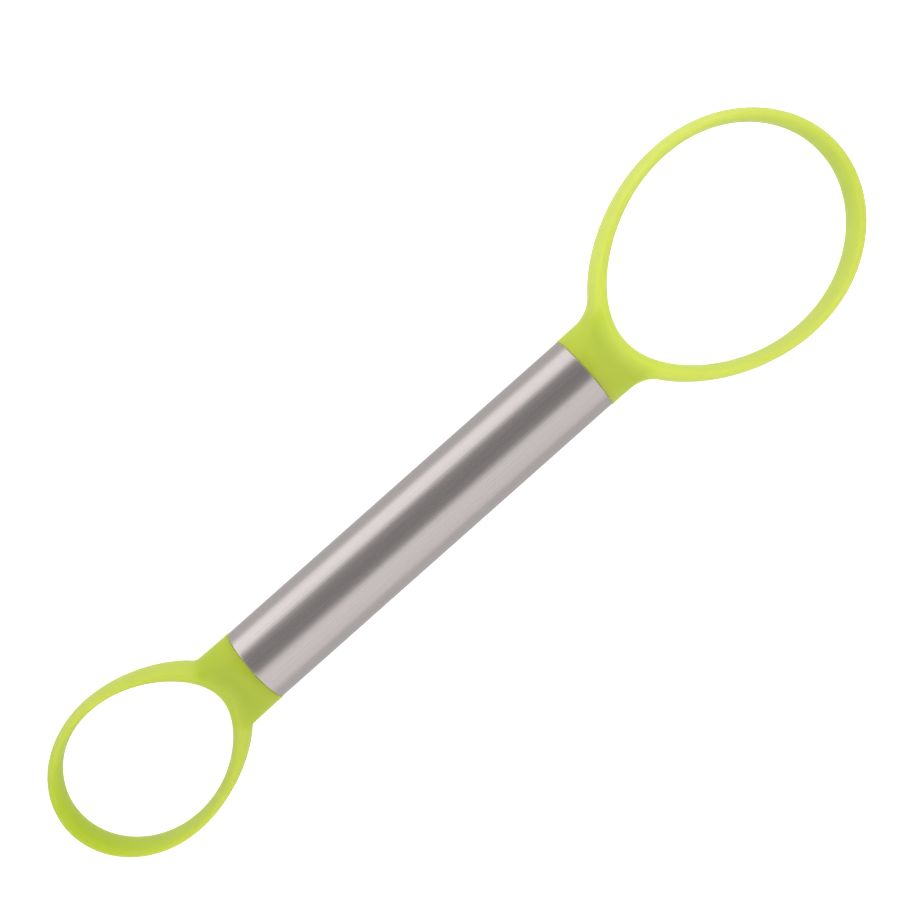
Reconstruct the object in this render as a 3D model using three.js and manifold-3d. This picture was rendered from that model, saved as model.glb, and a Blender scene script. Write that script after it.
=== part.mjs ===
// Double-ended fruit corer: a steel tube handle with a large and a small plastic loop plugged into its ends.
// Millimetres, +Z up. X runs along the handle toward the large loop, both loops lie level in the XY plane,
// and the origin is on the tube's axis, half way between the two loop tips.

import * as THREE from 'three';
import { mergeVertices } from 'three/addons/utils/BufferGeometryUtils.js';
import Module from 'manifold-3d';

const wasm = await Module();
wasm.setup();

// Handle tube
const TUBE_DIAMETER = 18;
const TUBE_WALL = 0.6;
const TUBE_LENGTH = 95.5;
const TUBE_EDGE_CHAMFER = 0.15;

// Large loop, measured on the middle of its band
const LARGE_NECK_LENGTH = 9.1;     // tube end to the band
const LARGE_LOOP_LENGTH = 63.2;
const LARGE_LOOP_WIDTH = 50.7;
const LARGE_EGG_SKEW = 0.09;       // moves the widest place toward the tip
const LARGE_EGG_TAPER = 0.045;     // draws both ends in
const LARGE_SIDE_WALL = 2.9;
const LARGE_TIP_WALL = 3.25;
const LARGE_ROOT_WALL = 4.4;
const LARGE_NECK_FILLET = 7.5;

// Small loop, measured the same way
const SMALL_NECK_LENGTH = 7.8;
const SMALL_LOOP_LENGTH = 44.4;
const SMALL_LOOP_WIDTH = 35.3;
const SMALL_EGG_SKEW = 0.119;
const SMALL_EGG_TAPER = 0.039;
const SMALL_SIDE_WALL = 2.25;
const SMALL_TIP_WALL = 3.7;
const SMALL_ROOT_WALL = 5.3;
const SMALL_NECK_FILLET = 1.5;

// Both loops
const BAND_HEIGHT = 9.6;
const COLLAR_PROUD = 0.12;         // collar beyond the tube, on the radius
const COLLAR_LAND = 1.5;           // full round collar beside the tube, before it slopes down to the band
const COLLAR_BURY = 0.97;          // share of the band's height that the collar reaches inside it

// Plugs that hold the loops in the tube
const PLUG_LENGTH = 22;
const PLUG_WALL = 2.2;
const PLUG_LEAD_CHAMFER = 1;
const PLUG_CLEARANCE = 0.3;        // plug to tube bore, on the radius
const SHOULDER_GAP = 0.2;          // collar to tube end
const CORE_REACH = 2.5;            // how far the plug's hollow runs on into the collar
const RIB_COUNT = 6;
const RIB_WIDTH = 1.2;
const RIB_LENGTH = 8;
const RIB_CLEARANCE = 0.05;        // rib to tube bore, on the radius

// Cured adhesive, a ring in a groove round each plug
const GROOVE_START = 3;            // tube end to the groove
const GROOVE_WIDTH = 6;
const GROOVE_DEPTH = 0.6;
const BOND_GAP = 0.1;              // adhesive to the plug and to the bore

// Facets
const ROUND_STEPS = 50;            // twice an odd number, so that a flat lies at the top and bottom
const BAND_STEPS = 72;
const BAND_SIDES = 14;
const COLLAR_STEPS = 12;
const SEARCH_STEPS = 40;

const tubeRadius = TUBE_DIAMETER / 2;
const collarRadius = tubeRadius + COLLAR_PROUD;
const boreRadius = tubeRadius - TUBE_WALL;
const plugRadius = boreRadius - PLUG_CLEARANCE;
const grooveRadius = plugRadius - GROOVE_DEPTH;
const coreRadius = grooveRadius - PLUG_WALL;

const largeLoop = {
  neck: LARGE_NECK_LENGTH,
  halfLength: LARGE_LOOP_LENGTH / 2,
  halfWidth: LARGE_LOOP_WIDTH / 2,
  skew: LARGE_EGG_SKEW,
  taper: LARGE_EGG_TAPER,
  sideWall: LARGE_SIDE_WALL,
  tipWall: LARGE_TIP_WALL,
  rootWall: LARGE_ROOT_WALL,
  fillet: LARGE_NECK_FILLET,
};
const smallLoop = {
  neck: SMALL_NECK_LENGTH,
  halfLength: SMALL_LOOP_LENGTH / 2,
  halfWidth: SMALL_LOOP_WIDTH / 2,
  skew: SMALL_EGG_SKEW,
  taper: SMALL_EGG_TAPER,
  sideWall: SMALL_SIDE_WALL,
  tipWall: SMALL_TIP_WALL,
  rootWall: SMALL_ROOT_WALL,
  fillet: SMALL_NECK_FILLET,
};

// Solids and booleans

function solid(geometry) {
  const bare = geometry.clone();
  bare.deleteAttribute('normal');
  bare.deleteAttribute('uv');
  const merged = mergeVertices(bare);
  const vertProperties = new Float32Array(merged.attributes.position.array);
  const triVerts = new Uint32Array(merged.index.array);
  return new wasm.Manifold(new wasm.Mesh({ numProp: 3, vertProperties, triVerts }));
}

function surface(body) {
  const mesh = body.getMesh();
  const geometry = new THREE.BufferGeometry();
  geometry.setAttribute('position', new THREE.BufferAttribute(mesh.vertProperties, 3));
  geometry.setIndex(new THREE.BufferAttribute(mesh.triVerts, 1));
  geometry.computeVertexNormals();
  return geometry;
}

// Moves every vertex of a geometry to the place that a function gives for it.
function warp(geometry, place) {
  const position = geometry.attributes.position;
  const point = new THREE.Vector3();
  for (let i = 0; i < position.count; i += 1) {
    const moved = place(point.fromBufferAttribute(position, i));
    position.setXYZ(i, moved.x, moved.y, moved.z);
  }
  return geometry;
}

// A closed profile of [radius, distance along X] pairs, counter-clockwise, turned round the X axis.
function turned(profile) {
  const points = profile.map(([radius, along]) => new THREE.Vector2(radius, along));
  const geometry = new THREE.LatheGeometry(points, ROUND_STEPS);
  return warp(geometry, (p) => new THREE.Vector3(p.y, p.z, p.x));
}

function ringProfile(innerRadius, outerRadius, start, end) {
  return [[innerRadius, start], [outerRadius, start], [outerRadius, end], [innerRadius, end], [innerRadius, start]];
}

// Loop heads, in a frame with x = 0 at the tube's end and +X toward the loop's tip

// A point on the middle of the band, its outward normal and the wall there. Angle 0 is the tip, PI the root.
function bandAt(loop, angle) {
  const c = Math.cos(angle);
  const s = Math.sin(angle);
  const egg = 1 + loop.skew * c - loop.taper * c * c;
  const eggChange = -loop.skew * s + 2 * loop.taper * c * s;
  const stepX = -loop.halfLength * s;
  const stepY = loop.halfWidth * (c * egg + s * eggChange);
  const step = Math.hypot(stepX, stepY);
  return {
    x: loop.neck + loop.halfLength * (1 + c),
    y: loop.halfWidth * s * egg,
    normalX: stepY / step,
    normalY: -stepX / step,
    wall: loop.sideWall
      + (loop.tipWall - loop.sideWall) * Math.max(c, 0) ** 2
      + (loop.rootWall - loop.sideWall) * Math.max(-c, 0) ** 2,
  };
}

// The egg-shaped band: a ring of round section, spread along the egg and stretched to the wall and height.
function loopBand(loop) {
  const section = new THREE.EllipseCurve(1, 0, 0.5, 0.5).getPoints(BAND_SIDES);
  const ring = new THREE.LatheGeometry(section, BAND_STEPS);
  return warp(ring, (p) => {
    const band = bandAt(loop, Math.atan2(p.x, p.z));
    const offset = (Math.hypot(p.x, p.z) - 1) * band.wall;
    return new THREE.Vector3(band.x + band.normalX * offset, band.y + band.normalY * offset, p.y * BAND_HEIGHT);
  });
}

// Where the fillet between the collar's side and the band's outer face starts and ends.
function neckFillet(loop) {
  let root = Math.PI;
  let side = Math.PI / 2;
  let centre;
  for (let i = 0; i < SEARCH_STEPS; i += 1) {
    const angle = (root + side) / 2;
    const band = bandAt(loop, angle);
    const reach = band.wall / 2 + loop.fillet;
    centre = {
      x: band.x + band.normalX * reach,
      y: band.y + band.normalY * reach,
      tangentX: band.x + band.normalX * band.wall / 2,
    };
    if (centre.y > collarRadius + loop.fillet) side = angle;
    else root = angle;
  }
  return { start: centre.x, end: centre.tangentX };
}

// The collar: round and just proud of the tube, spreading and thinning until it is buried in the band.
function collar(loop) {
  const fillet = neckFillet(loop);
  const end = Math.min(fillet.end, loop.neck + loop.rootWall / 2 - SHOULDER_GAP);
  const crestHeight = COLLAR_BURY * BAND_HEIGHT / 2;
  const halfWidth = (x) => {
    const into = Math.min(Math.max(x - fillet.start, 0), loop.fillet);
    return collarRadius + loop.fillet - Math.sqrt(loop.fillet ** 2 - into ** 2);
  };
  const halfHeight = (x) => {
    if (x > loop.neck) {
      return crestHeight * Math.sqrt(1 - (2 * (x - loop.neck) / loop.rootWall) ** 2);
    }
    const slope = Math.max(x - COLLAR_LAND, 0) / (loop.neck - COLLAR_LAND);
    return crestHeight + (collarRadius - crestHeight) * (1 + Math.cos(Math.PI * slope)) / 2;
  };
  const barrel = new THREE.CylinderGeometry(1, 1, 1, ROUND_STEPS, COLLAR_STEPS);
  return warp(barrel, (p) => {
    const x = SHOULDER_GAP + (p.y + 0.5) * (end - SHOULDER_GAP);
    return new THREE.Vector3(x, p.z * halfWidth(x), p.x * halfHeight(x));
  });
}

// The plug, with its adhesive groove and the chamfer that leads it into the tube.
function plug() {
  const groove = [-GROOVE_START, -GROOVE_START - GROOVE_WIDTH];
  return turned([
    [0, -PLUG_LENGTH],
    [plugRadius - PLUG_LEAD_CHAMFER, -PLUG_LENGTH],
    [plugRadius, PLUG_LEAD_CHAMFER - PLUG_LENGTH],
    [plugRadius, groove[1]],
    [grooveRadius, groove[1]],
    [grooveRadius, groove[0]],
    [plugRadius, groove[0]],
    [plugRadius, CORE_REACH],
    [0, CORE_REACH],
  ]);
}

function plugCore() {
  const mouth = -PLUG_LENGTH - PLUG_WALL;
  return turned([[0, mouth], [coreRadius, mouth], [coreRadius, CORE_REACH], [0, CORE_REACH]]);
}

// One crush rib, rooted inside the plug's wall.
function crushRib(index) {
  const top = boreRadius - RIB_CLEARANCE;
  const root = grooveRadius;
  const rib = new THREE.BoxGeometry(RIB_LENGTH, RIB_WIDTH, top - root);
  rib.translate(PLUG_LEAD_CHAMFER + RIB_LENGTH / 2 - PLUG_LENGTH, 0, (top + root) / 2);
  return rib.rotateX(2 * Math.PI * index / RIB_COUNT);
}

function loopHead(loop) {
  let head = solid(loopBand(loop)).add(solid(collar(loop))).add(solid(plug()));
  for (let i = 0; i < RIB_COUNT; i += 1) {
    head = head.add(solid(crushRib(i)));
  }
  return surface(head.subtract(solid(plugCore())));
}

// Handle tube and adhesive rings

function handleTube() {
  const end = TUBE_LENGTH / 2;
  const c = TUBE_EDGE_CHAMFER;
  return turned([
    [boreRadius, c - end],
    [boreRadius + c, -end],
    [tubeRadius - c, -end],
    [tubeRadius, c - end],
    [tubeRadius, end - c],
    [tubeRadius - c, end],
    [boreRadius + c, end],
    [boreRadius, end - c],
    [boreRadius, c - end],
  ]);
}

function adhesiveRing() {
  const near = -GROOVE_START - BOND_GAP;
  const far = BOND_GAP - GROOVE_START - GROOVE_WIDTH;
  return turned(ringProfile(grooveRadius + BOND_GAP, boreRadius - BOND_GAP, far, near));
}

// Assembly

const steel = { color: 0xc4bfbc, roughness: 0.3, metalness: 1 };
const limePlastic = { color: 0xc8dc46, roughness: 0.4, metalness: 0 };
const curedAdhesive = { color: 0xd8cfa8, roughness: 0.5, metalness: 0 };

function piece(name, geometry, finish) {
  const mesh = new THREE.Mesh(surface(solid(geometry)), new THREE.MeshStandardMaterial(finish));
  mesh.name = name;
  return mesh;
}

// The distance from the tube's middle to the outside of a loop's tip.
function tipReach(loop) {
  return TUBE_LENGTH / 2 + loop.neck + 2 * loop.halfLength + loop.tipWall / 2;
}

const corer = new THREE.Group();
const tubeMiddle = (tipReach(smallLoop) - tipReach(largeLoop)) / 2;

const tube = piece('handle_tube', handleTube(), steel);
tube.position.x = tubeMiddle;
corer.add(tube);

const ends = [
  { size: 'large', loop: largeLoop, side: 1, turn: 0 },
  { size: 'small', loop: smallLoop, side: -1, turn: Math.PI },
];
for (const { size, loop, side, turn } of ends) {
  const end = new THREE.Group();
  end.position.x = tubeMiddle + side * TUBE_LENGTH / 2;
  end.rotation.z = turn;
  end.add(piece(`${size}_loop_head`, loopHead(loop), limePlastic));
  end.add(piece(`${size}_adhesive_ring`, adhesiveRing(), curedAdhesive));
  corer.add(end);
}

export default corer;
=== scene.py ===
# %% [markdown]
# # A double-ended fruit corer
#
# The tool is a brushed steel tube with a lime plastic loop at each end, one large and one small. The
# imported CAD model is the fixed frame: it says where every piece is, and this lesson gives each piece the
# smooth surface and the finish that the real one has. Everything is in metres, in the frame's own axes:
# X runs along the handle toward the large loop, and both loops lie level.

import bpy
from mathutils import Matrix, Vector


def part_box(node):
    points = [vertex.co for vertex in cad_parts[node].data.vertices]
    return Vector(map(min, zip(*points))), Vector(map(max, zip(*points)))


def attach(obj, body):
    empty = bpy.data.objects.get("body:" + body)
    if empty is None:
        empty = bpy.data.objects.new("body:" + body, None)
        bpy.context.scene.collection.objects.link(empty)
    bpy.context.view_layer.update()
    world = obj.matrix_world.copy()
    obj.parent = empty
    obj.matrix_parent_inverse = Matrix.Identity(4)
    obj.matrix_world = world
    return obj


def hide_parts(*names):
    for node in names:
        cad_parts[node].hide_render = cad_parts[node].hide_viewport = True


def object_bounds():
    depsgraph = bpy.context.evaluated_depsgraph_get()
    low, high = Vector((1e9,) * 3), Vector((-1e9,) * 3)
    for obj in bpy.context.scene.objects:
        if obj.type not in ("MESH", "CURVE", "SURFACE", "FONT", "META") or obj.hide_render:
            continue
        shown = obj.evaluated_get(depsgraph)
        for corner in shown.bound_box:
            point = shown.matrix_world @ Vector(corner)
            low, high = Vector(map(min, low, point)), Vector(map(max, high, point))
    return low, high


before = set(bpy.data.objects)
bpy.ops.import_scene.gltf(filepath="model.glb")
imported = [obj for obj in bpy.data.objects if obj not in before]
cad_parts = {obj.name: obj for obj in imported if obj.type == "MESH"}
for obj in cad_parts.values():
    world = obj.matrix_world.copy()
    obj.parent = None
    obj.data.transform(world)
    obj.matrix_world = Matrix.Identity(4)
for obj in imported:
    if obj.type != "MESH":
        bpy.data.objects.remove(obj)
cad_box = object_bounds()
print("CAD box", [tuple(corner) for corner in cad_box])

# %% [markdown]
# ## Camera
#
# The photograph looks nearly straight down. The tool lies on its tube and on one edge of the large loop,
# so it is tipped a little about its handle. A frame keeps its tool level, and so the camera leans over by
# that angle instead. The lens and the place come from fitting the loops' outlines, which shrink with
# distance.

# %% Camera
from math import atan2, cos, hypot, pi, radians, sin, sqrt

import bpy
from mathutils import Matrix, Vector

MM = 0.001
LEAN = radians(9.65)           # the camera's tilt about the handle
SLANT = radians(41.57)         # the handle's slope in the picture
LENS = 64.72                   # on the usual 36 mm wide sensor
DISTANCE = 351.9 * MM
AIM_ALONG = 14.81 * MM         # from the tube's middle, toward the large loop
AIM_ACROSS = 6.89 * MM
NEAREST_SEEN = 10 * MM

tube_low, tube_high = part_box("handle_tube")
tube_middle = (tube_low + tube_high) / 2
along = Vector((1, 0, 0))
across = Vector((0, cos(LEAN), -sin(LEAN)))
toward_camera = along.cross(across)

right = cos(SLANT) * along - sin(SLANT) * across
up = sin(SLANT) * along + cos(SLANT) * across
aim = tube_middle + AIM_ALONG * along + AIM_ACROSS * across
place = aim + DISTANCE * toward_camera
turned = Matrix((right, up, toward_camera)).transposed().to_4x4()

camera = bpy.data.objects.new("camera", bpy.data.cameras.new("camera"))
camera.data.lens = LENS
camera.data.clip_start = NEAREST_SEEN
camera.matrix_world = Matrix.Translation(place) @ turned
bpy.context.scene.collection.objects.link(camera)
bpy.context.scene.camera = camera
bpy.context.scene.view_settings.view_transform = "Standard"
print("camera at", [round(c, 4) for c in place])

# %% [markdown]
# ## Reading a direction
#
# The steel shows what the studio looked like: white all round, as in a light tent, with a darker patch
# overhead where the camera looks in. Many lamps could copy that, but a world shader gives the same soft
# light with less grain. Its colour depends only on the direction, so two helpers come first. The dot
# product of a direction with an axis says how far apart they are, and Map Range turns that into a
# brightness.

# %% Reading a direction
world = bpy.data.worlds.new("light_tent")
world.use_nodes = True
bpy.context.scene.world = world
tent = world.node_tree
direction = tent.nodes.new("ShaderNodeTexCoord").outputs["Generated"]


def facing(axis):
    dot = tent.nodes.new("ShaderNodeVectorMath")
    dot.operation = "DOT_PRODUCT"
    tent.links.new(direction, dot.inputs[0])
    dot.inputs[1].default_value = axis.normalized()
    return dot.outputs["Value"]


def ranged(value, low, high, start, end, smooth):
    span = tent.nodes.new("ShaderNodeMapRange")
    span.interpolation_type = "SMOOTHSTEP" if smooth else "LINEAR"
    tent.links.new(value, span.inputs["Value"])
    span.inputs["From Min"].default_value = low
    span.inputs["From Max"].default_value = high
    span.inputs["To Min"].default_value = start
    span.inputs["To Max"].default_value = end
    return span.outputs["Result"]


print("world", world.name, "made")

# %% [markdown]
# ## Light tent
#
# The tent's walls are white, a little brighter to the upper left and past the small loop. The patch fades
# into them softly, and below the horizon they fade to the grey of a table, which the steel's edges mirror.
# The camera itself sees plain white there, because the photograph's background is white. Light Path tells
# the camera's own rays from the rest.

# %% Light tent
PATCH_TILT = radians(-13)      # the dark patch leans to the brighter side
PATCH_EDGE = (radians(28), radians(46))
TENT_WHITE = 1.04
PATCH_GREY = 0.252
TABLE_GREY = 0.6
TABLE_EDGE = (radians(90), radians(104))
SIDE_GAIN = 0.175              # how much brighter than the mean the tent is to the upper left
FOOT_GAIN = 0.1                # and past the small loop
BACKDROP_WHITE = 1             # what the camera sees past the floor

patch_middle = cos(PATCH_TILT) * toward_camera - sin(PATCH_TILT) * across
patch_inner, patch_outer = [cos(edge) for edge in PATCH_EDGE]
table_start, table_full = [cos(edge) for edge in TABLE_EDGE]
brighter_side = SIDE_GAIN * across - FOOT_GAIN * along
gain = brighter_side.length

patch = ranged(facing(patch_middle), patch_outer, patch_inner, TENT_WHITE, PATCH_GREY, True)
side = ranged(facing(brighter_side), -1, 1, 1 - gain, 1 + gain, False)
walls = tent.nodes.new("ShaderNodeMath")
walls.operation = "MULTIPLY"
tent.links.new(patch, walls.inputs[0])
tent.links.new(side, walls.inputs[1])
all_round = ranged(facing(toward_camera), table_full, table_start, TABLE_GREY, 1, True)
tent.links.new(walls.outputs["Value"], all_round.node.inputs["To Max"])

camera_ray = tent.nodes.new("ShaderNodeLightPath").outputs["Is Camera Ray"]
backdrop = ranged(camera_ray, 0, 1, 0, BACKDROP_WHITE, False)
tent.links.new(all_round, backdrop.node.inputs["To Min"])
tent.links.new(backdrop, tent.nodes["Background"].inputs["Strength"])
tent.nodes["Background"].inputs["Color"].default_value = (1, 1, 1, 1)
print("light tent has", len(tent.nodes), "nodes")

# %% [markdown]
# ## Lamps
#
# The plastic is lighter at the large loop, and most on its upper left, so a soft lamp stands on that side
# and a weaker one fills in from the other. Area lamps near the tool fade with distance, which a world
# can't do. They are kept out of reflections, because the steel shows no bright square.

# %% Lamps
LAMP_POWERS = {"upper_left": 0.16, "lower_right": 0.062}   # watts
LAMP_SIZE = 200 * MM
LAMP_REACH = 240 * MM
LAMP_HEIGHT = radians(43)
LAMP_ALONG = 145 * MM          # from the tube's middle, toward the large loop

lit = tube_middle + LAMP_ALONG * along
for (name, power), side_way in zip(LAMP_POWERS.items(), (across, -across)):
    lamp_way = cos(LAMP_HEIGHT) * side_way + sin(LAMP_HEIGHT) * toward_camera
    lamp = bpy.data.objects.new("lamp_" + name, bpy.data.lights.new("lamp_" + name, "AREA"))
    lamp.data.energy = power
    lamp.data.size = LAMP_SIZE
    lamp.visible_glossy = False
    turned = lamp_way.to_track_quat("Z", "Y").to_matrix().to_4x4()
    lamp.matrix_world = Matrix.Translation(lit + LAMP_REACH * lamp_way) @ turned
    bpy.context.scene.collection.objects.link(lamp)
    print(lamp.name, "at", [round(c, 3) for c in lamp.location])

# %% [markdown]
# ## Floor
#
# The floor is a plain pale sheet under the tool. For the camera it gets a glow that takes it to white, as
# the photograph's background is. For other rays the glow is weaker, and lights the plastic from below, as
# a bright table does. Reflections pass through the sheet to the tent's own grey table, so the steel shows
# no bright floor.

# %% Floor
import bmesh

FLOOR_REACH = 4                # from its middle to its edges
FLOOR_GREY = 0.8
FLOOR_GLOW = 0.7               # for the camera
TABLE_GLOW = 0.3               # for the light that the floor sends up to the plastic


def mesh_object(bm, name):
    mesh = bpy.data.meshes.new(name)
    bm.to_mesh(mesh)
    bm.free()
    thing = bpy.data.objects.new(name, mesh)
    bpy.context.scene.collection.objects.link(thing)
    return thing


bm = bmesh.new()
bmesh.ops.create_grid(bm, x_segments=1, y_segments=1, size=FLOOR_REACH)
bmesh.ops.translate(bm, verts=bm.verts, vec=(0, 0, cad_box[0].z))
floor = mesh_object(bm, "floor")
floor.visible_glossy = False

paper = bpy.data.materials.new("floor_paper")
paper.use_nodes = True
sheet = paper.node_tree
sheet_shader = sheet.nodes["Principled BSDF"]
sheet_shader.inputs["Base Color"].default_value = (FLOOR_GREY, FLOOR_GREY, FLOOR_GREY, 1)
sheet_shader.inputs["Roughness"].default_value = 1
sheet_shader.inputs["Specular IOR Level"].default_value = 0
sheet_shader.inputs["Emission Color"].default_value = (1, 1, 1, 1)
sheet_glow = sheet.nodes.new("ShaderNodeMapRange")
sheet_glow.inputs["To Min"].default_value = TABLE_GLOW
sheet_glow.inputs["To Max"].default_value = FLOOR_GLOW
camera_ray = sheet.nodes.new("ShaderNodeLightPath").outputs["Is Camera Ray"]
sheet.links.new(camera_ray, sheet_glow.inputs["Value"])
sheet.links.new(sheet_glow.outputs["Result"], sheet_shader.inputs["Emission Strength"])
floor.data.materials.append(paper)
print("floor at", round(cad_box[0].z, 4))

# %% [markdown]
# ## The loops' shape
#
# Each loop is an egg-shaped ring. A circle would be a cosine and a sine of one angle. The egg adds a skew,
# which moves the widest place toward the tip, and a taper, which draws both ends in. Its band is thin at
# the sides and thicker at the tip and at the root. These are the sizes of the CAD model, in a frame that
# starts at the tube's end and runs toward the tip.

# %% The egg
BAND_HEIGHT = 9.6 * MM

loops = {
    "large": {
        "neck": 9.1 * MM, "length": 63.2 * MM, "width": 50.7 * MM, "skew": 0.09, "taper": 0.045,
        "side_wall": 2.9 * MM, "tip_wall": 3.25 * MM, "root_wall": 4.4 * MM, "fillet": 7.5 * MM,
        "end": tube_high.x, "turn": 0,
    },
    "small": {
        "neck": 7.8 * MM, "length": 44.4 * MM, "width": 35.3 * MM, "skew": 0.119, "taper": 0.039,
        "side_wall": 2.25 * MM, "tip_wall": 3.7 * MM, "root_wall": 5.3 * MM, "fillet": 1.5 * MM,
        "end": tube_low.x, "turn": pi,
    },
}


def band_at(loop, angle):
    ahead = cos(angle)
    aside = sin(angle)
    half_length = loop["length"] / 2
    half_width = loop["width"] / 2
    egg = 1 + loop["skew"] * ahead - loop["taper"] * ahead * ahead
    egg_change = -loop["skew"] * aside + 2 * loop["taper"] * ahead * aside
    middle = Vector((loop["neck"] + half_length * (1 + ahead), half_width * aside * egg, 0))
    step = Vector((-half_length * aside, half_width * (ahead * egg + aside * egg_change), 0))
    outward = Vector((step.y, -step.x, 0)).normalized()
    to_tip = (loop["tip_wall"] - loop["side_wall"]) * max(ahead, 0) ** 2
    to_root = (loop["root_wall"] - loop["side_wall"]) * max(-ahead, 0) ** 2
    return middle, outward, loop["side_wall"] + to_tip + to_root


for name, loop in loops.items():
    tip, _, wall = band_at(loop, 0)
    print(name, "loop's tip", round((tip.x + wall / 2) / MM, 2), "mm from the tube")

# %% [markdown]
# ## The neck's outline
#
# Beside the tube each loop is a round collar, a hair proud of the steel. Seen from above, an arc leads
# from the collar's side into the band. The arc's middle could be solved for, but the egg makes that a
# long equation, so it is found by halving: it lies one arc radius outside both the band and the collar,
# and the search slides along the band until both hold.

# %% The neck's outline
COLLAR_PROUD = 0.12 * MM
SEARCH_STEPS = 40

collar_radius = tube_high.y + COLLAR_PROUD


def neck_fillet(loop):
    root = pi
    side = pi / 2
    for _ in range(SEARCH_STEPS):
        angle = (root + side) / 2
        middle, outward, wall = band_at(loop, angle)
        centre = middle + outward * (wall / 2 + loop["fillet"])
        if centre.y > collar_radius + loop["fillet"]:
            side = angle
        else:
            root = angle
    return angle, centre, atan2(-outward.y, -outward.x)


for name, loop in loops.items():
    loop["fillet_angle"], loop["fillet_centre"], loop["fillet_turn"] = neck_fillet(loop)
    print(name, "fillet starts", round(loop["fillet_centre"].x / MM, 2), "mm from the tube")

# %% [markdown]
# ## The collar and the band in height
#
# The collar is as high as it is wide beside the tube, and slopes down to the band in an S-curve. The band
# is lens-shaped in section, with a fine rim that cuts through soft fruit. Where the two meet beside the
# rim's crest, the real moulding has a soft valley. A bevel there would follow the faces' corners, so the
# two heights are blended instead: near a draw, the blend lies a little above both.

# %% The heights
COLLAR_LAND = 1 * MM           # full round collar beside the tube
SLOPE_END = 0.35               # the slope runs on past the band's middle, by this share of its wall
SHELF = 4                      # how square the neck's section gets near the band; 2 is an ellipse
VALLEY = 3 * MM                # at the band's outer edge, heights closer than this are blended


def nearest_band(loop, point):
    low = loop["fillet_angle"]
    high = pi
    for _ in range(SEARCH_STEPS):
        angle = (low + high) / 2
        middle, outward, wall = band_at(loop, angle)
        if (point - middle).dot(Vector((-outward.y, outward.x, 0))) > 0:
            low = angle
        else:
            high = angle
    return (point - middle).dot(outward), wall


def collar_height(loop, point, left_to_go):
    into = min(max(point.x - loop["fillet_centre"].x, 0), loop["fillet"])
    half_width = collar_radius + loop["fillet"] - sqrt(loop["fillet"] ** 2 - into ** 2)
    sideways = min(abs(point.y) / half_width, 1)
    round_height = collar_radius * sqrt(1 - sideways ** 2)
    shelf_height = BAND_HEIGHT / 2 * (1 - sideways ** SHELF) ** (1 / SHELF)
    travel = max(point.x - COLLAR_LAND, 0)
    share = travel / (travel + max(left_to_go, 0)) if travel > 0 else 0
    return round_height + (shelf_height - round_height) * (1 - cos(pi * share)) / 2


def neck_height(loop, point):
    away, wall = nearest_band(loop, point)
    offset = 2 * away / wall
    lens = sqrt(max(1 - offset ** 2, 0))
    rim = BAND_HEIGHT / 2 * lens
    slope = collar_height(loop, point, away + SLOPE_END * wall) * (lens if offset < 0 else 1)
    reach = min(VALLEY * min(max(offset, 0), 1) ** 2, rim + slope)
    close = max(reach - abs(rim - slope), 0)
    return max(rim, slope) + (close ** 2 / (4 * reach) if reach > 0 else 0)


for name, loop in loops.items():
    crest = neck_height(loop, Vector((loop["neck"], 0, 0)))
    print(name, "neck at the band's middle is", round(crest / MM, 2), "mm high")

# %% [markdown]
# ## The skin's outer side
#
# The loop is the same above and below, and on its left and right, so a quarter of its skin is enough. It
# will start as a flat grid. One side of the grid runs along the inside of the band. The opposite side
# runs along the outside, down the fillet, along the collar and over the collar's round end, and this is
# the way that it takes past the band. A union of a ring and a cylinder would give nearly the same shape,
# but with ragged faces, and a grid keeps clean quads.

# %% The skin's outer side
FILLET_LINES = 14
SIDE_LINES = 12
END_LINES = 24
SHOULDER_GAP = 0.06 * MM       # the collar's flat end to the tube's end
EDGE_ROUND = 0.1 * MM

neck_lines = FILLET_LINES + SIDE_LINES + END_LINES
collar_end = SHOULDER_GAP + EDGE_ROUND


def neck_edge(loop, line):
    centre = loop["fillet_centre"]
    if line <= FILLET_LINES:
        turn = loop["fillet_turn"] + (-pi / 2 - loop["fillet_turn"]) * line / FILLET_LINES
        return centre + loop["fillet"] * Vector((cos(turn), sin(turn), 0))
    if line <= FILLET_LINES + SIDE_LINES:
        share = (line - FILLET_LINES) / SIDE_LINES
        return Vector((centre.x + (collar_end - centre.x) * share, collar_radius, 0))
    turn = pi / 2 * (line - FILLET_LINES - SIDE_LINES) / END_LINES
    return Vector((collar_end, collar_radius * cos(turn), collar_radius * sin(turn)))


print("the neck has", neck_lines, "lines of vertices")

# %% [markdown]
# ## A place for every vertex
#
# Every vertex of the grid goes to its place between the two sides, at its own height. On the band that
# place lies on half an ellipse. Along the fillet the height goes over from a widened band to the neck's.

# %% A place for every vertex
BAND_LINES = 120


def skin_point(loop, line, over):
    swing = pi * over
    if line <= BAND_LINES:
        middle, outward, wall = band_at(loop, loop["fillet_angle"] * line / BAND_LINES)
        height = Vector((0, 0, sin(swing) * BAND_HEIGHT / 2))
        return middle - outward * cos(swing) * wall / 2 + height
    share = (line - BAND_LINES) / neck_lines
    middle, outward, wall = band_at(loop, loop["fillet_angle"] + (pi - loop["fillet_angle"]) * share)
    inner = middle - outward * wall / 2
    edge = neck_edge(loop, line - BAND_LINES)
    to_side = (1 - cos(swing)) / 2
    to_top = 1 - cos(swing / 2)
    point = inner.lerp(edge, to_side + (to_top - to_side) * edge.z / collar_radius)
    if over == 0 or over == 1:
        return point
    band_like = sin(swing) * BAND_HEIGHT / 2
    grown = sin(pi / 2 * min((line - BAND_LINES) / FILLET_LINES, 1)) ** 2
    point.z = band_like + (neck_height(loop, Vector((point.x, point.y, 0))) - band_like) * grown
    return point


print("a quarter of a loop has", BAND_LINES + neck_lines, "lines of vertices")

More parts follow.
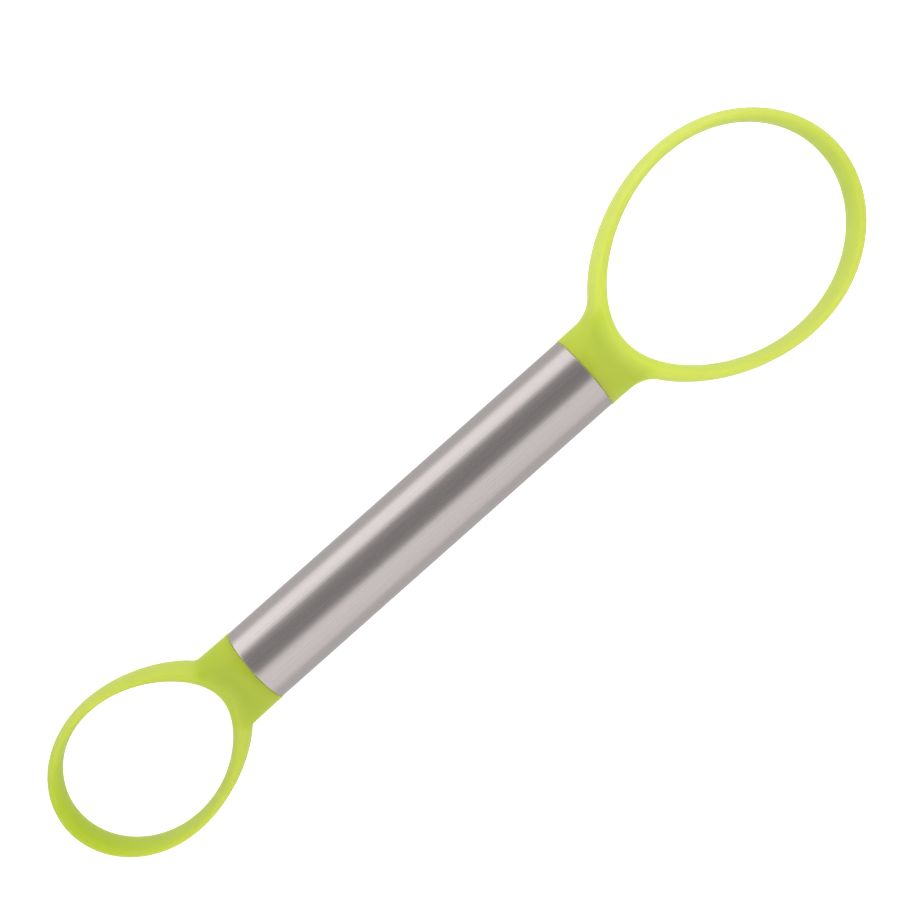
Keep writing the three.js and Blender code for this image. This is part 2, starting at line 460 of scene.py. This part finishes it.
# %% [markdown]
# ## Painted light through the plastic
#
# Thin plastic lets light through, so the band looks paler than the solid collar, and the neck is
# brightest at its edge round the opening. Scattering in the material gives a part of that, but less than
# the photograph shows, so the rest is painted light. Every vertex also carries two shares, which the lime
# plastic reads later on: the painted glow says how much paler its colour is painted there, higher on the
# large loop, where more light falls, and edge is a painted bright rim that fades with the distance from
# the opening.

# %% Painted light through the plastic
# Both fades shape painted light: the first where the thin band's painted glow gives way to the collar's,
# the second for the painted bright rim round the opening.
NECK_FADE = 0.25               # share of the neck over which the thin band turns into the solid collar
EDGE_FADE = (1.6 * MM, 6.4 * MM)   # the bright inside edge fades over these distances

# Painted light for each loop: how pale its colour is painted for light coming through, and how bright its
# rim; higher on the large loop, where more light falls.
loops["large"].update(side_glow=0.66, tip_glow=0.44, collar_glow=0.165, edge_glow=0.86)
loops["small"].update(side_glow=0.4, tip_glow=0.01, collar_glow=0.07, edge_glow=0.5)


# Gives a vertex its painted glow and its share of the painted bright rim.
def light_through(loop, line, point):
    on_band = min(line / BAND_LINES, 1)
    on_neck = max(line - BAND_LINES, 0) / neck_lines
    angle = loop["fillet_angle"] * on_band + (pi - loop["fillet_angle"]) * on_neck
    middle, outward, wall = band_at(loop, angle)
    inside = middle - outward * wall / 2
    away = hypot(point.x - inside.x, point.y - inside.y)
    solid = min(max((away - EDGE_FADE[0]) / (EDGE_FADE[1] - EDGE_FADE[0]), 0), 1)
    solid = (1 - cos(pi * solid)) / 2
    to_tip = max(cos(angle), 0) ** 2
    to_root = max(-cos(angle), 0) ** 2
    band_glow = loop["side_glow"] + (loop["tip_glow"] - loop["side_glow"]) * to_tip
    glow = band_glow + (loop["collar_glow"] - band_glow) * min(on_neck / NECK_FADE, 1)
    return glow, loop["edge_glow"] * to_root * (1 - solid)


for name, loop in loops.items():
    tip, _, _ = band_at(loop, 0)
    tip_glow, _ = light_through(loop, 0, tip)
    print(name, "tip's glow", round(tip_glow, 3))

# %% [markdown]
# ## One skin
#
# Now the quarter is made: a grid with its two layers of shares, each vertex moved to its place, and then a
# mirror across the handle and one from top to bottom. Mirroring merges the seams, so the only edges left
# open are those of the collar's round end.

# %% One skin
OVER_STEPS = 36
SEAM = 0.001 * MM              # vertices closer than this are merged


def loop_skin(loop):
    lines = BAND_LINES + neck_lines
    bm = bmesh.new()
    # These two layers carry painted light: the painted glow and the painted bright rim.
    glow = bm.verts.layers.float.new("glow")
    edge = bm.verts.layers.float.new("edge")
    bmesh.ops.create_grid(bm, x_segments=lines, y_segments=OVER_STEPS, size=1)
    reach = max(vert.co.x for vert in bm.verts)
    for vert in bm.verts:
        line = round((vert.co.x / reach + 1) / 2 * lines)
        over = round((vert.co.y / reach + 1) / 2 * OVER_STEPS) / OVER_STEPS
        vert.co = skin_point(loop, line, over)
        vert[glow], vert[edge] = light_through(loop, line, vert.co)
    for axis in "YZ":
        whole = bm.verts[:] + bm.edges[:] + bm.faces[:]
        bmesh.ops.mirror(bm, geom=whole, merge_dist=SEAM, axis=axis)
    return bm


skins = {name: loop_skin(loop) for name, loop in loops.items()}
for name, bm in skins.items():
    open_edges = sum(edge.is_boundary for edge in bm.edges)
    print(name, "skin faces", len(bm.faces), "open edges", open_edges)

# %% [markdown]
# ## The plug's profile
#
# From the collar's round end the moulding goes on inside the tube: a flat shoulder, a plug with a groove
# for adhesive, a chamfer that leads it in, and a hollow. A lathe hand would read that as a profile, a list
# of places along the tube and radii. The plug's sizes are the CAD model's.

# %% The plug's profile
TUBE_WALL = 0.6 * MM
PLUG_CLEARANCE = 0.3 * MM      # to the tube's bore
PLUG_LENGTH = 22 * MM
PLUG_CHAMFER = 1 * MM
PLUG_WALL = 2.2 * MM           # from the groove's floor to the hollow
GROOVE_START = 3 * MM
GROOVE_WIDTH = 6 * MM
GROOVE_DEPTH = 0.6 * MM
HOLLOW_REACH = 2.5 * MM        # past the tube's end, into the collar
RIB_LENGTH = 8 * MM
ROUND_RINGS = 3

bore_radius = tube_high.y - TUBE_WALL
plug_radius = bore_radius - PLUG_CLEARANCE
groove_radius = plug_radius - GROOVE_DEPTH
hollow_radius = groove_radius - PLUG_WALL
groove_end = GROOVE_START + GROOVE_WIDTH
rib_start = PLUG_CHAMFER - PLUG_LENGTH
rib_end = rib_start + RIB_LENGTH

profile = []
for ring in range(1, ROUND_RINGS + 1):
    turn = pi / 2 * ring / ROUND_RINGS
    ring_x = SHOULDER_GAP + EDGE_ROUND * (1 - sin(turn))
    profile.append((ring_x, collar_radius - EDGE_ROUND * (1 - cos(turn))))
profile += [
    (SHOULDER_GAP, plug_radius),
    (-GROOVE_START, plug_radius),
    (-GROOVE_START, groove_radius),
    (-groove_end, groove_radius),
    (-groove_end, plug_radius),
    (rib_end, plug_radius),
    (rib_start, plug_radius),
    (-PLUG_LENGTH, plug_radius - PLUG_CHAMFER),
    (-PLUG_LENGTH, hollow_radius),
    (HOLLOW_REACH, hollow_radius),
]
print("plug profile has", len(profile), "rings")

# %% [markdown]
# ## The plug
#
# Only the collar's round end is still open. Each point of the profile becomes one more ring of edges,
# extruded from the last and set to its own place and radius, and a face closes the hollow. Six crush ribs
# then rise out of the plug's wall: extruding a few of its faces keeps the moulding in one piece, which
# loose ribs pushed into it would not. The faces' edges are handed over too, because without them the
# operator leaves the old faces behind, inside the ribs.

# %% The plug
RIB_COUNT = 6
RIB_CLEARANCE = 0.05 * MM      # to the tube's bore

rib_radius = bore_radius - RIB_CLEARANCE
face_step = pi / 2 / END_LINES


def extruded_ring(bm, ring, x, radius):
    made = bmesh.ops.extrude_edge_only(bm, edges=ring)["geom"]
    fresh = {item for item in made if isinstance(item, bmesh.types.BMVert)}
    for vert in fresh:
        vert.co = Vector((x, 0, 0)) + radius * Vector((0, vert.co.y, vert.co.z)).normalized()
    edges = [item for item in made if isinstance(item, bmesh.types.BMEdge)]
    return [edge for edge in edges if fresh.issuperset(edge.verts)]


def on_rib(face):
    middle = face.calc_center_median()
    if not rib_start < middle.x < rib_end or hypot(middle.y, middle.z) < groove_radius:
        return False
    step = 2 * pi / RIB_COUNT
    past = atan2(middle.z, middle.y) % step
    return min(past, step - past) < face_step


for name, bm in skins.items():
    ring = [edge for edge in bm.edges if edge.is_boundary]
    for x, radius in profile:
        ring = extruded_ring(bm, ring, x, radius)
    bmesh.ops.edgeloop_fill(bm, edges=ring)
    rib_faces = [face for face in bm.faces if on_rib(face)]
    rib_edges = list(dict.fromkeys(edge for face in rib_faces for edge in face.edges))
    raised = bmesh.ops.extrude_face_region(bm, geom=rib_faces + rib_edges)["geom"]
    for vert in (item for item in raised if isinstance(item, bmesh.types.BMVert)):
        vert.co.yz = vert.co.yz.normalized() * rib_radius
    bmesh.ops.recalc_face_normals(bm, faces=bm.faces)
    open_edges = sum(not edge.is_manifold for edge in bm.edges)
    volume = round(bm.calc_volume() / MM ** 3)
    print(name, "head faces", len(bm.faces), "open edges", open_edges, "volume", volume, "mm3")

# %% [markdown]
# ## Into place
#
# Each head was made at the tube's end with its tip ahead of it. One matrix turns it round and moves it to
# its end of the tube, and is applied to the mesh, so that the object itself stays at the origin. Edges
# that turn sharply, such as the plug's corners, are kept crisp, and the rest is shaded smooth.

# %% Into place
CRISP = radians(40)

heads = {}
for name, loop in loops.items():
    head = mesh_object(skins[name], name + "_loop_moulding")
    head_turn = Matrix.Rotation(loop["turn"], 4, "Z")
    head.data.transform(Matrix.Translation((loop["end"], 0, 0)) @ head_turn)
    head.data.shade_smooth()
    head.data.set_sharp_from_angle(angle=CRISP)
    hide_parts(name + "_loop_head")
    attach(head, "root")
    heads[name] = head
    print(name, "head spans", [round(size / MM, 2) for size in head.dimensions])

# %% [markdown]
# ## The tube
#
# The handle is a thin-walled tube with its ends deburred. Spinning a profile would also make it, but an
# open cylinder that gets its wall from solidify and its soft ends from a bevel is less work. Two cuts near
# the ends keep the bevel's shading off the long straight wall.

# %% The tube
TUBE_SIDES = 160
END_CUT = 0.5 * MM
END_ROUND = 0.1 * MM
END_STEPS = 3
CLOSE = 0.01 * MM

tube_length = tube_high.x - tube_low.x


def on_tube_rim(edge):
    off_end = [abs(abs(vert.co.x - tube_middle.x) - tube_length / 2) for vert in edge.verts]
    first_radius, second_radius = [hypot(vert.co.y, vert.co.z) for vert in edge.verts]
    return max(off_end) < CLOSE and abs(first_radius - second_radius) < CLOSE


bm = bmesh.new()
bmesh.ops.create_cone(
    bm, cap_ends=False, segments=TUBE_SIDES, radius1=tube_high.y, radius2=tube_high.y,
    depth=tube_length, matrix=Matrix.Translation(tube_middle) @ Matrix.Rotation(pi / 2, 4, "Y"),
)
bmesh.ops.recalc_face_normals(bm, faces=bm.faces)
bmesh.ops.solidify(bm, geom=bm.faces, thickness=TUBE_WALL)
for end_x, inward in ((tube_low.x, END_CUT), (tube_high.x, -END_CUT)):
    cut = bm.verts[:] + bm.edges[:] + bm.faces[:]
    bmesh.ops.bisect_plane(bm, geom=cut, plane_co=(end_x + inward, 0, 0), plane_no=(1, 0, 0))
rims = [edge for edge in bm.edges if on_tube_rim(edge)]
bmesh.ops.bevel(
    bm, geom=rims, offset=END_ROUND, segments=END_STEPS, profile=0.5, affect="EDGES", material=-1,
)
bmesh.ops.recalc_face_normals(bm, faces=bm.faces)
tube = mesh_object(bm, "brushed_tube")
tube.data.shade_smooth()
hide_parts("handle_tube")
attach(tube, "root")
print("tube faces", len(tube.data.polygons))

# %% [markdown]
# ## Mottle, an effect for every material
#
# No real surface is quite even: plastic keeps faint marks of how it flowed into the mould, brushing leaves
# streaks in steel, and adhesive cures cloudy. Each could have its own noise, but all three are the same
# noise at their own size, so one node group holds it and each material places it with its own scale.

# %% Mottle
MOTTLE_DETAIL = 3
MOTTLE_SPREAD = (0.3, 0.7)     # noise lies mostly between these, and is spread from 0 to 1

mottle = bpy.data.node_groups.new("mottle", "ShaderNodeTree")
mottle.interface.new_socket("Vector", in_out="INPUT", socket_type="NodeSocketVector")
mottle.interface.new_socket("Scale", in_out="INPUT", socket_type="NodeSocketFloat")
mottle.interface.new_socket("Value", in_out="OUTPUT", socket_type="NodeSocketFloat")
given = mottle.nodes.new("NodeGroupInput")
cloud = mottle.nodes.new("ShaderNodeTexNoise")
cloud.inputs["Detail"].default_value = MOTTLE_DETAIL
spread = mottle.nodes.new("ShaderNodeMapRange")
spread.inputs["From Min"].default_value = MOTTLE_SPREAD[0]
spread.inputs["From Max"].default_value = MOTTLE_SPREAD[1]
put_out = mottle.nodes.new("NodeGroupOutput")
mottle.links.new(given.outputs["Vector"], cloud.inputs["Vector"])
mottle.links.new(given.outputs["Scale"], cloud.inputs["Scale"])
mottle.links.new(cloud.outputs["Fac"], spread.inputs["Value"])
mottle.links.new(spread.outputs["Result"], put_out.inputs["Value"])


def placed_mottle(tree, scale, stretch=(1, 1, 1)):
    place_on = tree.nodes.new("ShaderNodeMapping")
    place_on.inputs["Scale"].default_value = stretch
    on_piece = tree.nodes.new("ShaderNodeTexCoord").outputs["Object"]
    tree.links.new(on_piece, place_on.inputs["Vector"])
    group = tree.nodes.new("ShaderNodeGroup")
    group.node_tree = mottle
    group.inputs["Scale"].default_value = scale
    tree.links.new(place_on.outputs["Vector"], group.inputs["Vector"])
    return group.outputs["Value"]


print("mottle group has", len(mottle.nodes), "nodes")

# %% [markdown]
# ## What a mottle does
#
# A mottle changes a finish in three ways: it shifts the roughness within a range, mixes two colours, and
# raises the surface as a very fine bump. Each is one or two nodes, so small helpers keep the materials
# short and easy to compare.

# %% What a mottle does
def between(tree, value, low, high):
    span = tree.nodes.new("ShaderNodeMapRange")
    span.inputs["To Min"].default_value = low
    span.inputs["To Max"].default_value = high
    tree.links.new(value, span.inputs["Value"])
    return span.outputs["Result"]


def colour_mix(tree, share, one, other):
    mix = tree.nodes.new("ShaderNodeMix")
    mix.data_type = "RGBA"
    tree.links.new(share, mix.inputs["Factor"])
    first, second = [socket for socket in mix.inputs if socket.type == "RGBA"]
    for socket, colour in ((first, one), (second, other)):
        if isinstance(colour, tuple):
            socket.default_value = (*colour, 1)
        else:
            tree.links.new(colour, socket)
    return next(socket for socket in mix.outputs if socket.type == "RGBA")


def mottled_colour(tree, value, colour, darkest):
    return colour_mix(tree, value, colour, tuple(darkest * channel for channel in colour))


def bumped(tree, height, depth):
    bump = tree.nodes.new("ShaderNodeBump")
    bump.inputs["Distance"].default_value = depth
    tree.links.new(height, bump.inputs["Height"])
    return bump.outputs["Normal"]


print("helpers made")

# %% [markdown]
# ## Lime plastic
#
# The heads are a lime plastic, satin to the touch and a little translucent. Subsurface scattering lets
# light through it, and light is also painted into the colour: it goes from a deep lime to a pale one by
# the painted glow that the skin carries, and to a bright lime by its painted bright rim. Flow marks are a
# faint mottle in colour and gloss, and the mould's satin finish is a very fine bump.

# %% Lime plastic
DEEP_LIME = (0.52, 0.645, 0.027)
# Painted light: a pale, lit-through copy of the lime, and a bright one for the rim round the opening.
PALE_LIME = (0.66, 0.715, 0.196)
EDGE_LIME = (0.7, 0.82, 0.1)
DEEP_FLOW = 0.96               # how dark the flow marks get
PALE_FLOW = 0.97
FLOW_SCALE = 55                # marks per metre
PLASTIC_ROUGHNESS = (0.39, 0.45)
SATIN_SCALE = 1800
SATIN_DEPTH = 0.004 * MM
GLOW_REACH = 4 * MM
GLOW_COLOURS = (1, 1, 0.4)     # red, green and blue: blue comes less far through the plastic

plastic = bpy.data.materials.new("lime_plastic")
plastic.use_nodes = True
moulding = plastic.node_tree
lime = moulding.nodes["Principled BSDF"]


def carried(name):
    attribute = moulding.nodes.new("ShaderNodeAttribute")
    attribute.attribute_name = name
    return attribute.outputs["Fac"]


flow = placed_mottle(moulding, FLOW_SCALE)
deep = mottled_colour(moulding, flow, DEEP_LIME, DEEP_FLOW)
pale = mottled_colour(moulding, flow, PALE_LIME, PALE_FLOW)
# Painted light: the colour is mixed toward the pale copy by the painted glow, and toward the bright one by
# the painted rim.
band_lime = colour_mix(moulding, carried("glow"), deep, pale)
whole_lime = colour_mix(moulding, carried("edge"), band_lime, EDGE_LIME)
satin = placed_mottle(moulding, SATIN_SCALE)
moulding.links.new(whole_lime, lime.inputs["Base Color"])
moulding.links.new(between(moulding, flow, *PLASTIC_ROUGHNESS), lime.inputs["Roughness"])
moulding.links.new(bumped(moulding, satin, SATIN_DEPTH), lime.inputs["Normal"])
lime.inputs["Subsurface Weight"].default_value = 1
lime.inputs["Subsurface Radius"].default_value = GLOW_COLOURS
lime.inputs["Subsurface Scale"].default_value = GLOW_REACH
for head in heads.values():
    head.data.materials.clear()
    head.data.materials.append(plastic)
print("plastic on", [head.name for head in heads.values()])

# %% [markdown]
# ## Brushed steel
#
# The tube was brushed along its length, which leaves streaks a few centimetres long and a fraction of a
# millimetre wide. Anisotropy could stretch the reflections, but it shows no streaks. The same mottle
# becomes streaks when its coordinates are squeezed along X. They change the colour and the gloss a
# little, and as a bump they spread reflections across the tube more than along it.

# %% Brushed steel
STEEL = (0.635, 0.585, 0.575)
STREAK_DARK = 0.975            # how dark the streaks get
STREAK_SCALE = 2200            # streaks per metre, across the tube
STREAK_STRETCH = 0.02
STREAK_DEPTH = 0.0007 * MM
STEEL_ROUGHNESS = (0.26, 0.3)

steel = bpy.data.materials.new("brushed_steel")
steel.use_nodes = True
brushing = steel.node_tree
metal = brushing.nodes["Principled BSDF"]
metal.inputs["Metallic"].default_value = 1
streaks = placed_mottle(brushing, STREAK_SCALE, (STREAK_STRETCH, 1, 1))
streaked = mottled_colour(brushing, streaks, STEEL, STREAK_DARK)
brushing.links.new(streaked, metal.inputs["Base Color"])
brushing.links.new(between(brushing, streaks, *STEEL_ROUGHNESS), metal.inputs["Roughness"])
brushing.links.new(bumped(brushing, streaks, STREAK_DEPTH), metal.inputs["Normal"])
tube.data.materials.clear()
tube.data.materials.append(steel)
print("steel on", tube.name)

# %% [markdown]
# ## Cured adhesive
#
# A ring of adhesive fills each plug's groove inside the tube. It is out of sight, so a new mesh would be
# wasted on it, but it is a real piece. Its CAD solid stays and gets its own finish: a dull, cloudy amber.

# %% Cured adhesive
AMBER = (0.72, 0.65, 0.42)
CLOUD_DARK = 0.8               # how dark the clouds get
CLOUD_SCALE = 400
CURED_DEPTH = 0.02 * MM
CURED_ROUGHNESS = (0.45, 0.6)

adhesive = bpy.data.materials.new("cured_adhesive")
adhesive.use_nodes = True
cured = adhesive.node_tree
resin = cured.nodes["Principled BSDF"]
clouds = placed_mottle(cured, CLOUD_SCALE)
cured.links.new(mottled_colour(cured, clouds, AMBER, CLOUD_DARK), resin.inputs["Base Color"])
cured.links.new(between(cured, clouds, *CURED_ROUGHNESS), resin.inputs["Roughness"])
cured.links.new(bumped(cured, clouds, CURED_DEPTH), resin.inputs["Normal"])
for name in loops:
    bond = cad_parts[name + "_adhesive_ring"]
    for slot in bond.material_slots:
        slot.material = adhesive
    print("adhesive on", bond.name)
